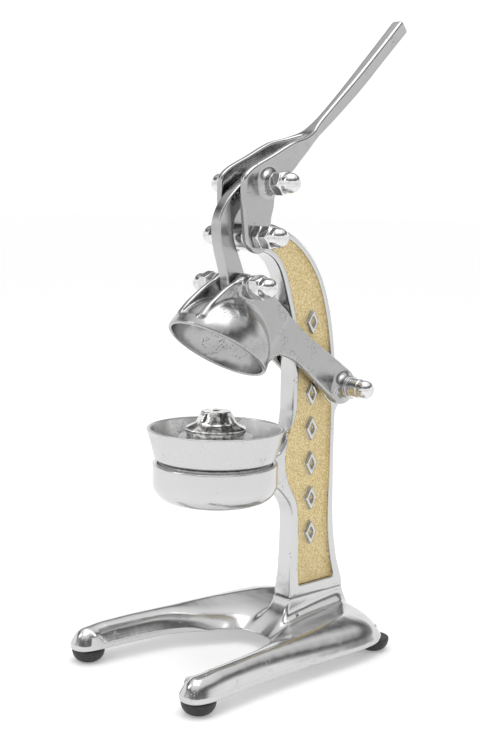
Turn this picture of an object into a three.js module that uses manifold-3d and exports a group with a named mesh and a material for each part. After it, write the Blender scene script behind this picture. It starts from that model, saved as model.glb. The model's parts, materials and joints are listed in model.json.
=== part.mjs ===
// A hand-lever citrus press in cast aluminium: horseshoe base on rubber feet, arched
// column with a funnel bowl, drop-in strainer cup, tilting press head, link and handle.
// Millimetres, +Z up. The user stands at -Y, and +X is the user's right.
// Everything is drawn with Z = 0 on the floor and the Z axis through the strainer cup;
// the finished group is then moved along Y, so its origin lies under the part's middle.

import * as THREE from "three";
import Module from "manifold-3d";
import { mergeVertices } from "three/addons/utils/BufferGeometryUtils.js";

const wasm = await Module();
wasm.setup();

// ---- Driving dimensions --------------------------------------------------------

const fitGap = 0.3; // between two pieces that touch
const runGap = 0.6; // round the cup where it turns in its seat

// feet and base
const footRadius = 13.1;
const footHeight = 10.7;
const footPadRadius = 6.5;
const frontFoot = [67.3, -72.1];
const rearFootX = 61.9;
const rearFootBehind = 13.9; // rear feet behind the middle of the column's foot
const legWidth = 27;
const legTopHeight = 29.5;
const bridgeTopHeight = 24;
const pedestalTopHeight = 38.2;
const arenaFront = 53; // rear end of the opening between the legs, where a glass stands
const pocketRoofHeight = 24; // recess under the base for the column's bolts

// column
const columnWidth = 17.3;
const columnFootDepth = 63.5;
const columnFootSetback = 6.7; // middle of the column's foot behind the column's middle
const columnDepth = 49.5;
const columnGap = 28.15; // from the bowl's edge to the column's front
const headBossRadius = 10.5;
const rearLugRadius = 15.6;
const panelDepth = 3;
const panelBorder = 4.8;
const panelFootBorder = 9.3;
const panelHeadClearance = 22; // from the handle pivot to the panel's upper end
const panelLugClearance = 15.4;
const ornamentCount = 7;
const ornamentPitch = 29.6;
const ornamentSize = [11, 19];
const ornamentRise = 2.8;

// funnel bowl and strainer cup
const bowlRimHeight = 163.2;
const bowlRadius = 49.1;
const bowlWall = 3.9;
const bowlDepth = 30.2;
const bowlCornerRadius = 15;
const outletRadius = 19.7;
const outletHole = 8;
const outletDrop = 3;
const cupFlare = 6.8; // from its shoulder out to its rim
const cupHeight = 27; // from its shoulder on the bowl to its rim
const cupWall = 2.6;
const cupSetback = 2.1; // its shoulder inside the bowl's edge
const cupSpigotDrop = 6.5;
const slotCount = 12;
const slotWidth = 3;
const coneFacets = 12;
const coneHeight = 40.5; // top disc above the bowl's rim
const drainWidth = 14.4; // from the cone's skirt to the cup's wall
const skirtStep = 5.3; // each radius of the cone, inwards from the one below it
const flangeStep = 8.6;
const neckStep = 4.5;

// press head, in the pose in which it is pressed down
const domeGap = 3.5; // between the dome and the cup's wall
const domeWall = 3.6;
const pressedRimRise = 10.7; // dome's rim above the bowl's rim when it is pressed down
const armReach = 127; // arm pivot behind the dome's axis
const armDrop = 1.1; // arm pivot below the dome's top
const armEndRadius = 15.2;
const armBossRadius = 9.8;
const armBossReach = 8.4;
const lugReach = -12.7; // link pivot from the dome's axis
const lugAbove = 9.8; // link pivot above the dome's top
const lugRadius = 8.5;
const lugGap = 1.1; // on each side of the link
const lugBossReach = 7.2;
const ribInside = 9.5; // from the middle plane to each rib
const ribThickness = 5.6;
const openAngle = 33.77; // how far the head tips back when the handle is up

// fork, link and handle
const archReach = 75.2; // handle pivot ahead of the column's middle
const archRise = 124.5; // and above the arm pivot
const crank = [9.6, 41.1]; // from the handle pivot to the link's upper pivot
const linkWidth = 10.4;
const linkDepth = 15;
const linkBow = 24; // how far the link bows forward of the line between its pivots
const spacerThickness = 1.25; // washers between the column and the fork, and the arms
const forkLeg = 6;
const armThickness = 6.5;
const forkEndRadius = 13;
const handleReach = [176.9, 177.8]; // from the handle pivot to the handle's end
const handleBossRadius = 8.7;
const handleBossReach = 9.6;
const tipSize = [12.2, 12];
const throatSize = [9, 9.6];
const shaftBelly = [4.2, 9.2]; // above and below the shaft's line, where it is deepest

// studs, nuts and screws
const studRadius = 5;
const nutFlats = 17;
const nutHexHeight = 9.5;
const nutWall = 2.8; // round the stud, in the nut's domed end
const nutDomeStart = 13.3;
const lockNutThickness = 7.4;
const washerWidth = 4.5;
const washerThickness = 1.2;
const columnBoltRadius = 4;
const columnBoltSpread = 18.5;
const columnBoltReach = 12;
const footStudRadius = 3;

// ---- Positions that follow from them -------------------------------------------

const columnFootHeight = pedestalTopHeight + fitGap;
const halfColumn = columnWidth / 2;
const halfFork = halfColumn + spacerThickness + 2 * fitGap;
const armOuter = halfFork + armThickness;
const forkOuter = halfFork + forkLeg;
const cupShoulder = bowlRadius - cupSetback;
const cupRimRadius = cupShoulder + cupFlare;
const coneSkirtRadius = cupShoulder - cupWall - drainWidth;
const coneFlangeRadius = coneSkirtRadius - skirtStep;
const coneNeckRadius = coneFlangeRadius - flangeStep;
const coneTopRadius = coneNeckRadius - neckStep;
const domeRadius = cupShoulder - cupWall - domeGap;
const armRise = domeRadius - armDrop;
const lugRise = domeRadius + lugAbove;
const pressedRimHeight = bowlRimHeight + pressedRimRise;
const armPivot = [armReach, pressedRimHeight + armRise];
const columnFront = bowlRadius + columnGap;
const columnMiddle = columnFront + columnDepth / 2;
const handlePivot = [columnMiddle - archReach, armPivot[1] + archRise];
const handleTip = [handlePivot[0] + handleReach[0], handlePivot[1] + handleReach[1]];
const columnFootMiddle = columnMiddle + columnFootSetback;
const rearFoot = [rearFootX, columnFootMiddle + rearFootBehind];
const linkTop = [handlePivot[0] + crank[0], handlePivot[1] + crank[1]];
const linkBottom = turned([lugReach, pressedRimHeight + lugRise], armPivot, -openAngle);
const cupFloorTop = bowlRimHeight;
const cupSpigotRadius = bowlRadius - bowlWall - runGap;
// distance of each nut's seat from the middle plane
const handleNutAt = forkOuter + lockNutThickness + 2 * fitGap;
const linkTopNutAt = forkOuter + handleBossReach + fitGap;
const linkBottomNutAt = armOuter + lugBossReach + fitGap;
const armNutAt = armOuter + armBossReach + washerThickness + 2 * fitGap;
const nutDomeRadius = studRadius + nutWall;
const washerRadius = studRadius + washerWidth;

// ---- Outlines ------------------------------------------------------------------

// A [y, z] point turned about a centre, counted positive from +Y towards +Z.
function turned([y, z], [cy, cz], degrees) {
  const a = THREE.MathUtils.degToRad(degrees);
  const [dy, dz] = [y - cy, z - cz];
  return [cy + dy * Math.cos(a) - dz * Math.sin(a), cz + dy * Math.sin(a) + dz * Math.cos(a)];
}

function arc([cx, cy], radius, from, to, steps) {
  return Array.from({ length: steps + 1 }, (_, i) => {
    const a = THREE.MathUtils.degToRad(from + ((to - from) * i) / steps);
    return [cx + radius * Math.cos(a), cy + radius * Math.sin(a)];
  });
}

const disc = (centre, radius, steps = 24) => arc(centre, radius, 0, 360, steps).slice(0, -1);

// A smooth open line through the given points, with a number of steps to each span.
function smooth(points, steps = 3) {
  const curve = new THREE.SplineCurve(points.map(([x, y]) => new THREE.Vector2(x, y)));
  return curve.getPoints(steps * (points.length - 1)).map((p) => [p.x, p.y]);
}

// The outline of a strip whose middle runs through stations of [y, z, half width].
// border(z) narrows it on both sides.
function strip(stations, steps, border = () => 0) {
  const line = new THREE.CatmullRomCurve3(
    stations.map(([y, z, w]) => new THREE.Vector3(y, z, w)),
    false,
    "centripetal",
  );
  const sides = [[], []];
  for (let i = 0; i <= steps; i++) {
    const p = line.getPoint(i / steps);
    const d = line.getTangent(i / steps);
    const length = Math.hypot(d.x, d.y);
    const half = p.z - border(p.y);
    const [ny, nz] = [(d.y / length) * half, (-d.x / length) * half];
    sides[0].push([p.x + ny, p.y + nz]);
    sides[1].push([p.x - ny, p.y - nz]);
  }
  return [...sides[0], ...sides[1].reverse()];
}

// ---- Solids --------------------------------------------------------------------

function solid(geometry) {
  const bare = geometry.clone();
  bare.deleteAttribute("normal");
  bare.deleteAttribute("uv");
  const merged = mergeVertices(bare);
  const index = merged.index.array;
  const triangles = [];
  for (let i = 0; i < index.length; i += 3) {
    const [a, b, c] = index.slice(i, i + 3);
    if (a !== b && b !== c && c !== a) triangles.push([a, b, c]);
  }
  const build = (list) =>
    new wasm.Manifold(
      new wasm.Mesh({
        numProp: 3,
        vertProperties: merged.attributes.position.array,
        triVerts: new Uint32Array(list.flat()),
      }),
    );
  const made = build(triangles);
  return made.volume() < 0 ? build(triangles.map(([a, b, c]) => [a, c, b])) : made;
}

const join = (first, ...rest) => rest.reduce((a, b) => a.add(b), first);
const cut = (first, ...rest) => rest.reduce((a, b) => a.subtract(b), first);

function extrude(outline, depth) {
  const shape = new THREE.Shape(outline.map(([x, y]) => new THREE.Vector2(x, y)));
  return new THREE.ExtrudeGeometry(shape, { depth, steps: 1, bevelEnabled: false });
}

const [axisX, axisY, axisZ] = [
  new THREE.Vector3(1, 0, 0),
  new THREE.Vector3(0, 1, 0),
  new THREE.Vector3(0, 0, 1),
];

// A [y, z] outline as a plate from x0 to x1.
function plateX(outline, x0, x1) {
  const turn = new THREE.Matrix4().makeBasis(axisY, axisZ, axisX);
  return solid(extrude(outline, x1 - x0).applyMatrix4(turn).translate(x0, 0, 0));
}

// An [x, y] outline as a plate from z0 to z1.
const plateZ = (outline, z0, z1) => solid(extrude(outline, z1 - z0).translate(0, 0, z0));

// The same plate on both sides of the middle plane.
const bothSides = (outline, x0, x1) => join(plateX(outline, x0, x1), plateX(outline, -x1, -x0));

function revolved(profile, segments) {
  return new THREE.LatheGeometry(
    profile.map(([r, h]) => new THREE.Vector2(r, h)),
    segments,
  );
}

// A profile of [radius, z] points turned about a vertical axis.
const revolveZ = (profile, [x, y] = [0, 0], segments = 36) =>
  solid(revolved(profile, segments).rotateX(Math.PI / 2).translate(x, y, 0));

// A profile of [radius, x] points turned about an axis along X through [y, z].
const revolveX = (profile, [y, z], segments = 16) =>
  solid(revolved(profile, segments).rotateZ(-Math.PI / 2).translate(0, y, z));

const rodX = (centre, radius, x0, x1, segments = 16) =>
  revolveX([[0, x0], [radius, x0], [radius, x1], [0, x1]], centre, segments);

const rodZ = (centre, radius, z0, z1, segments = 16) =>
  revolveZ([[0, z0], [radius, z0], [radius, z1], [0, z1]], centre, segments);

// The stretch from x0 to x1 on the right side, or its mirror on the left.
const spanX = (side, x0, x1) => (side > 0 ? [x0, x1] : [-x1, -x0]);

// A skin over closed rings of [x, y, z] points, with flat ends.
function loft(rings) {
  const n = rings[0].length;
  const positions = rings.flat(2);
  const index = [];
  for (let r = 0; r + 1 < rings.length; r++) {
    for (let i = 0; i < n; i++) {
      const [a, b] = [r * n + i, r * n + ((i + 1) % n)];
      index.push(a, b, b + n, a, b + n, a + n);
    }
  }
  const last = (rings.length - 1) * n;
  for (let i = 1; i + 1 < n; i++) {
    index.push(0, i + 1, i);
    index.push(last, last + i, last + i + 1);
  }
  const geometry = new THREE.BufferGeometry();
  geometry.setAttribute("position", new THREE.Float32BufferAttribute(positions, 3));
  geometry.setIndex(index);
  return solid(geometry);
}

// ---- Base ----------------------------------------------------------------------

const legBottom = footHeight + fitGap;

// One leg is a row of D-shaped sections, each [y, middle x, half width, top height].
function legSections(side) {
  const half = legWidth / 2;
  const [frontX, frontY] = frontFoot;
  const [rearX, rearY] = rearFoot;
  const sections = [
    [frontY - 14.4, frontX - 0.3, half * 0.4, legTopHeight - 8.5],
    [frontY - 12.2, frontX - 0.3, half * 0.66, legTopHeight - 5],
    [frontY - 7, frontX, half * 0.9, legTopHeight - 2.4],
    [frontY + 4, frontX + 0.1, half, legTopHeight - 1],
    [frontY + 32, frontX - 2.3, half + 0.5, legTopHeight],
    [frontY + 72, frontX - 5.5, half + 2.3, legTopHeight],
    [rearY - 82, rearX - 1.6, half + 4.1, legTopHeight],
    [rearY - 32, rearX - 0.9, half + 4.5, legTopHeight],
    [rearY - 10, rearX - 1.4, half + 3, legTopHeight - 2],
    [rearY + 4, rearX - 3.5, half, legTopHeight - 4.5],
    [rearY + 11, rearX - 6.5, half - 4.5, legTopHeight - 8],
    [rearY + 14, rearX - 8, half * 0.35, legTopHeight - 13],
  ];
  const steps = 12;
  return sections.map(([y, middle, w, top]) =>
    Array.from({ length: steps + 1 }, (_, i) => {
      const a = (Math.PI * i) / steps;
      const across = Math.sign(Math.cos(a)) * Math.abs(Math.cos(a)) ** 0.6;
      const up = Math.sin(a) ** 0.75;
      return [side * middle + w * across, y, legBottom + (top - legBottom) * up];
    }),
  );
}

function baseCasting() {
  const rearEdge = columnFootMiddle + columnFootDepth / 2 + 4.5;
  const [legX, legRear] = [rearFoot[0] - 2, rearFoot[1] + 9];
  const arena = smooth([
    [legX - 13, arenaFront - 58],
    [38, arenaFront - 38.6],
    [21.2, arenaFront - 16.1],
    [8, arenaFront - 3.5],
    [0, arenaFront],
  ]);
  const mirrored = arena.slice(0, -1).map(([x, y]) => [-x, y]);
  const bridge = plateZ(
    [
      ...arena.toReversed(),
      [legX, arenaFront - 58],
      [legX, legRear],
      [legX * 0.5, rearEdge - 3.5],
      [0, rearEdge],
      [-legX * 0.5, rearEdge - 3.5],
      [-legX, legRear],
      [-legX, arenaFront - 58],
      ...mirrored,
    ],
    legBottom,
    bridgeTopHeight,
  );
  // the pedestal flares from the column's foot down into the bridge
  const pedestalHalf = columnFootDepth / 2;
  const square = (v) => Math.sign(v) * Math.abs(v) ** 0.35;
  const ring = ([halfX, front, rear, z]) =>
    Array.from({ length: 20 }, (_, i) => {
      const a = (2 * Math.PI * i) / 20;
      const reach = Math.sin(a) < 0 ? front : rear;
      return [halfX * square(Math.cos(a)), columnFootMiddle + reach * square(Math.sin(a)), z];
    });
  const pedestal = loft(
    [
      [halfColumn + 17, pedestalHalf + 17, pedestalHalf + 4.5, bridgeTopHeight - 5],
      [halfColumn + 15, pedestalHalf + 15, pedestalHalf + 4.5, bridgeTopHeight],
      [halfColumn + 2.6, pedestalHalf + 4, pedestalHalf + 4.2, bridgeTopHeight + 3],
      [halfColumn + 1.2, pedestalHalf + 2, pedestalHalf + 1.6, pedestalTopHeight - 1],
      [halfColumn + 0.6, pedestalHalf + 1, pedestalHalf + 0.8, pedestalTopHeight],
    ].map(ring),
  );
  const pocket = plateZ(
    [
      [-halfColumn - 7, columnFootMiddle - pedestalHalf + 1],
      [halfColumn + 7, columnFootMiddle - pedestalHalf + 1],
      [halfColumn + 7, columnFootMiddle + pedestalHalf - 3],
      [-halfColumn - 7, columnFootMiddle + pedestalHalf - 3],
    ],
    0,
    pocketRoofHeight,
  );
  const boltHoles = columnBoltPlaces.map((y) =>
    rodZ([0, y], columnBoltRadius + fitGap, 0, pedestalTopHeight + 5),
  );
  const studHoles = footPlaces.map(({ at }) =>
    rodZ(at, footStudRadius + fitGap, 0, legBottom + 10, 12),
  );
  return cut(
    join(loft(legSections(1)), loft(legSections(-1)), bridge, pedestal),
    pocket,
    ...boltHoles,
    ...studHoles,
  );
}

const columnBoltPlaces = [columnFootMiddle - columnBoltSpread, columnFootMiddle + columnBoltSpread];

const footPlaces = [
  { name: "front_right", at: frontFoot },
  { name: "front_left", at: [-frontFoot[0], frontFoot[1]] },
  { name: "rear_right", at: rearFoot },
  { name: "rear_left", at: [-rearFoot[0], rearFoot[1]] },
];

function foot(at) {
  const dome = [
    [0, 0],
    [footPadRadius, 0],
    [footRadius * 0.75, 2.2],
    [footRadius * 0.93, 5.2],
    [footRadius, footHeight - 1.5],
    [footRadius - 0.6, footHeight],
    [0, footHeight],
  ];
  return cut(revolveZ(dome, at, 20), rodZ(at, footStudRadius + fitGap, 4, footHeight + 1, 12));
}

// ---- Column with its funnel bowl -------------------------------------------------

// The column's middle line, as [y, z, half depth], from its foot up to the handle pivot.
function columnStations() {
  const [pivotY, pivotZ] = handlePivot;
  const half = columnDepth / 2;
  return [
    [columnFootMiddle, columnFootHeight, columnFootDepth / 2],
    [columnFootMiddle - 2.7, columnFootHeight + 28.5, half + 2.5],
    [columnFootMiddle - 4.4, columnFootHeight + 56.5, half - 0.2],
    [columnMiddle + 0.2, armPivot[1] - 48.7, half],
    [columnMiddle, armPivot[1] - 13.7, half + 0.2],
    [columnMiddle - 1, armPivot[1] + 21.3, half - 0.7],
    [pivotY + 69, pivotZ - 66.2, half - 2.4],
    [pivotY + 59.9, pivotZ - 39.7, half - 4],
    [pivotY + 47.5, pivotZ - 19.7, half - 8],
    [pivotY + 33.7, pivotZ - 7.9, half - 11.6],
    [pivotY + 19.7, pivotZ - 1.9, half - 12.9],
    [pivotY, pivotZ, headBossRadius],
  ];
}

function panelOutlines() {
  const border = (z) => {
    const low = THREE.MathUtils.clamp((columnFootHeight + 100 - z) / 100, 0, 1);
    return panelBorder + (panelFootBorder - panelBorder) * low;
  };
  return {
    main: strip(columnStations(), 36, border),
    bulge: arc([0, 0], 1, 0, 360, 24)
      .slice(0, -1)
      .map(([y, z]) => [columnMiddle - 18 + 14.6 * y, bowlRimHeight - 6.2 + 27 * z]),
  };
}

// Where the raised lozenges stand, from the column's foot upwards.
function ornamentPlaces() {
  const top = armPivot[1] + 54.8;
  return Array.from({ length: ornamentCount }, (_, i) => {
    const z = top - i * ornamentPitch;
    return [columnFootMiddle - 6 - (z - columnFootHeight) * 0.02, z];
  });
}

function sidePanel(side) {
  const { main, bulge } = panelOutlines();
  const [inner, outer] = [halfColumn - panelDepth, halfColumn + 5];
  const span = spanX(side, inner, outer);
  const keepOut = [
    disc(handlePivot, panelHeadClearance),
    disc(armPivot, panelLugClearance),
    [
      [0, 0],
      [200, 0],
      [200, columnFootHeight + panelFootBorder],
      [0, columnFootHeight + panelFootBorder],
    ],
  ].map((outline) => plateX(outline, span[0] - 1, span[1] + 1));
  const [width, height] = ornamentSize;
  const raised = spanX(side, inner - 1, inner + ornamentRise);
  const lozenges = ornamentPlaces().map(([y, z]) => {
    const corners = [[y - width / 2, z], [y, z - height / 2], [y + width / 2, z], [y, z + height / 2]];
    return plateX(corners, ...raised);
  });
  return cut(join(plateX(main, ...span), plateX(bulge, ...span)), ...keepOut, ...lozenges);
}

function bowlProfiles() {
  const floor = bowlRimHeight - bowlDepth;
  const inside = bowlRadius - bowlWall;
  const corner = arc([bowlRadius - bowlCornerRadius, floor + bowlCornerRadius], bowlCornerRadius, -90, 0, 4);
  const innerCornerRadius = bowlCornerRadius - bowlWall;
  const innerCorner = arc(
    [inside - innerCornerRadius, floor + bowlCornerRadius],
    innerCornerRadius,
    -90,
    0,
    4,
  );
  return {
    outer: [
      [0, floor - outletDrop],
      [outletRadius - 1, floor - outletDrop],
      [outletRadius, floor - outletDrop + 1],
      [outletRadius, floor + 0.5],
      ...corner,
      [bowlRadius, bowlRimHeight - 0.8],
      [bowlRadius - 0.8, bowlRimHeight],
      [0, bowlRimHeight],
    ],
    inner: [
      [0, floor + 1.5],
      [outletHole, floor + 1.5],
      ...innerCorner,
      [inside, bowlRimHeight + 20],
      [0, bowlRimHeight + 20],
    ],
    outlet: [
      [0, floor - outletDrop - 1],
      [outletHole, floor - outletDrop - 1],
      [outletHole, floor + 3],
      [0, floor + 3],
    ],
  };
}

function columnCasting() {
  const { outer, inner, outlet } = bowlProfiles();
  const web = [
    [bowlRadius - 12, bowlRimHeight - 0.2],
    [bowlRadius + 10, bowlRimHeight - 0.2],
    ...smooth([
      [columnFront - 13.1, bowlRimHeight + 2],
      [columnFront - 7.1, bowlRimHeight + 9],
      [columnFront - 2.6, bowlRimHeight + 18],
      [columnFront - 0.1, bowlRimHeight + 32],
    ]),
    [columnFront + 10, bowlRimHeight + 32],
    [columnFront + 10, bowlRimHeight - 62],
    ...smooth([
      [columnFront + 3, bowlRimHeight - 62],
      [columnFront + 1.7, bowlRimHeight - 46],
      [columnFront - 6.1, bowlRimHeight - 38],
      [columnFront - 18.1, bowlRimHeight - 27],
      [bowlRadius - 1, bowlRimHeight - 20],
    ]),
    [bowlRadius - 12, bowlRimHeight - 23],
  ];
  const lugBridge = [
    [columnMiddle, armPivot[1] - rearLugRadius],
    [armPivot[0], armPivot[1] - rearLugRadius],
    [armPivot[0], armPivot[1] + rearLugRadius],
    [columnMiddle, armPivot[1] + rearLugRadius],
  ];
  const body = join(
    plateX(strip(columnStations(), 36), -halfColumn, halfColumn),
    rodX(handlePivot, headBossRadius, -halfColumn, halfColumn, 24),
    rodX(armPivot, rearLugRadius, -halfColumn, halfColumn, 24),
    plateX(lugBridge, -halfColumn, halfColumn),
    plateX(web, -halfColumn, halfColumn),
    revolveZ(outer),
  );
  const footLevel = plateX([[0, 0], [200, 0], [200, columnFootHeight], [0, columnFootHeight]], -60, 60);
  const pivotHoles = [handlePivot, armPivot].map((at) =>
    rodX(at, studRadius + fitGap, -halfColumn - 1, halfColumn + 1),
  );
  const boltHoles = columnBoltPlaces.map((y) =>
    rodZ([0, y], columnBoltRadius + fitGap, columnFootHeight - 1, columnFootHeight + columnBoltReach + 1),
  );
  return cut(
    body,
    footLevel,
    revolveZ(inner),
    revolveZ(outlet),
    sidePanel(1),
    sidePanel(-1),
    ...pivotHoles,
    ...boltHoles,
  );
}

// ---- Strainer cup ----------------------------------------------------------------

function strainerCup() {
  const shoulder = bowlRimHeight + fitGap;
  const rim = shoulder + cupHeight;
  const inside = cupShoulder - cupWall;
  const shell = revolveZ([
    [0, shoulder - cupSpigotDrop],
    [cupSpigotRadius - 1, shoulder - cupSpigotDrop],
    [cupSpigotRadius, shoulder - cupSpigotDrop + 1],
    [cupSpigotRadius, shoulder],
    [cupShoulder, shoulder],
    [cupRimRadius, rim - 0.7],
    [cupRimRadius - 0.6, rim],
    [cupRimRadius - cupWall + 0.5, rim],
    [cupRimRadius - cupWall, rim - 0.7],
    [inside + 0.6, cupFloorTop + 3],
    [inside - 2.5, cupFloorTop],
    [coneSkirtRadius + 4, cupFloorTop],
    [coneSkirtRadius + 2, cupFloorTop + 4],
    [coneSkirtRadius, cupFloorTop + 19.5],
    [coneSkirtRadius - 1.5, cupFloorTop + 21],
    [0, cupFloorTop + 21],
  ]);
  const coneTop = bowlRimHeight + coneHeight;
  const cone = revolveZ(
    [
      [0, cupFloorTop + 18],
      [coneFlangeRadius - 1.5, cupFloorTop + 18],
      [coneFlangeRadius - 1.2, coneTop - 17.5],
      [coneFlangeRadius, coneTop - 13.6],
      [coneNeckRadius + 0.5, coneTop - 9.8],
      [coneNeckRadius, coneTop - 9],
      [coneTopRadius, coneTop],
      [0, coneTop],
    ],
    [0, 0],
    coneFacets,
  );
  // a cavity under the cone keeps the casting's wall even
  const underside = revolveZ([
    [0, shoulder - cupSpigotDrop - 1],
    [coneSkirtRadius - 1, shoulder - cupSpigotDrop - 1],
    [coneSkirtRadius - 4, cupFloorTop + 15.5],
    [coneNeckRadius - 1.5, coneTop - 14],
    [coneTopRadius - 4, coneTop - 4],
    [0, coneTop - 4],
  ]);
  const slotInner = coneSkirtRadius + 5.5;
  const slotOuter = inside - 3;
  const slots = Array.from({ length: slotCount }, (_, i) => {
    const a = (360 * (i + 0.5)) / slotCount;
    const slot = new THREE.BoxGeometry(slotOuter - slotInner, slotWidth, 20)
      .translate((slotInner + slotOuter) / 2, 0, cupFloorTop - 3)
      .rotateZ(THREE.MathUtils.degToRad(a));
    return solid(slot);
  });
  return cut(join(shell, cone), underside, ...slots);
}

// ---- Press head ------------------------------------------------------------------
// Drawn with the middle of the dome's rim at [0, 0] and the rim level.

const headArmPivot = [armReach, armRise];
const headLinkPivot = [lugReach, lugRise];

function pressHead() {
  const quarter = (radius) => arc([0, 0], radius, 0, 90, 7).map(([r, z]) => [Math.max(r, 0), z]);
  const dome = revolveZ([[0, 0], ...quarter(domeRadius)]);
  const hollow = revolveZ([[0, -1], [domeRadius - domeWall, -1], ...quarter(domeRadius - domeWall)]);
  const [armY, armZ] = headArmPivot;
  const arm = [
    ...smooth([
      [lugReach, lugRise + lugRadius],
      [lugReach + 30, lugRise + 7.4],
      [armY - 87, armZ + 16.2],
      [armY - 60, armZ + 14.2],
      [armY - 30, armZ + 14.8],
      [armY, armZ + armEndRadius],
    ]),
    ...arc(headArmPivot, armEndRadius, 80, -90, 12),
    ...smooth([
      [armY - 14.4, armZ - 14.4],
      [armY - 36, armZ - 12.8],
      [armY - 59, armZ - 11],
      [domeRadius + 14.8, armZ - 12.7],
      [domeRadius + 6, armZ - 16.4],
      [domeRadius + 1.5, armZ - 22.6],
      [domeRadius - 1.7, 12.5],
    ]),
    [domeRadius - 12, 10],
    [0, domeRadius - 6],
    [lugReach, lugRise - 15],
  ];
  const rib = [
    ...arc(headLinkPivot, lugRadius, 155, 0, 10),
    [4, domeRadius - 4],
    [-domeRadius + 14, 8],
    [-domeRadius + 1.8, 8.6],
    [-domeRadius + 3.9, 20],
    [-domeRadius + 6.9, 28],
    [-domeRadius + 10.9, 38],
    [-domeRadius + 14.9, 46],
  ];
  const shoulders = [
    ...arc(headLinkPivot, lugRadius, 180, 90, 6),
    [lugReach + 30, lugRise + 7.3],
    [domeRadius - 5, lugRise + 5],
    [domeRadius - 6, 24],
    [0, domeRadius - 6],
    [lugReach - lugRadius, domeRadius - 9],
  ];
  const lugInside = linkWidth / 2 + lugGap;
  const bosses = [-1, 1].flatMap((side) => [
    rodX(headLinkPivot, lugRadius + 0.5, ...spanX(side, lugInside, armOuter + lugBossReach)),
    rodX(headArmPivot, armBossRadius, ...spanX(side, armOuter - 1, armOuter + armBossReach)),
  ]);
  const solidHead = join(
    dome,
    bothSides(arm, halfFork, armOuter),
    bothSides(rib, ribInside, ribInside + ribThickness),
    bothSides(shoulders, lugInside, armOuter - 0.5),
    ...bosses,
  );
  const holes = [headLinkPivot, headArmPivot].map((at) => rodX(at, studRadius + fitGap, -60, 60));
  return cut(solidHead, hollow, ...holes);
}

// ---- Link ------------------------------------------------------------------------
// The lower eye is a hook, open to the rear, because the lower pivot is the open one.

function linkBar() {
  const [topY, topZ] = linkTop;
  const [bottomY, bottomZ] = linkBottom;
  const length = Math.hypot(bottomY - topY, bottomZ - topZ);
  const along = [(bottomY - topY) / length, (bottomZ - topZ) / length];
  const forward = [along[1], -along[0]];
  const on = (share, bow, half) => [
    topY + along[0] * share * length + forward[0] * bow * linkBow,
    topZ + along[1] * share * length + forward[1] * bow * linkBow,
    half,
  ];
  const half = linkDepth / 2;
  const bar = strip(
    [
      on(0, 0, half + 1.5),
      on(0.12, 0.5, half),
      on(0.32, 0.93, half),
      on(0.47, 1.02, half),
      on(0.63, 0.84, half),
      on(0.82, 0.42, half + 0.9),
      on(1, 0, half + 1.9),
    ],
    24,
  );
  const body = join(
    plateX(bar, -linkWidth / 2, linkWidth / 2),
    rodX(linkTop, half + 2.2, -linkWidth / 2, linkWidth / 2),
    rodX(linkBottom, half + 1.9, -linkWidth / 2, linkWidth / 2),
  );
  const play = studRadius + 2 * fitGap;
  const mouth = [
    ...arc(linkBottom, play, 90, 213, 8),
    [bottomY + 8.4, bottomZ - 23.2],
    [bottomY + 30, bottomZ - 23.2],
    [bottomY + 30, bottomZ + play],
  ];
  return cut(
    body,
    rodX(linkTop, studRadius + fitGap, -20, 20),
    plateX(mouth, -linkWidth, linkWidth),
  );
}

// ---- Handle ----------------------------------------------------------------------

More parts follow.
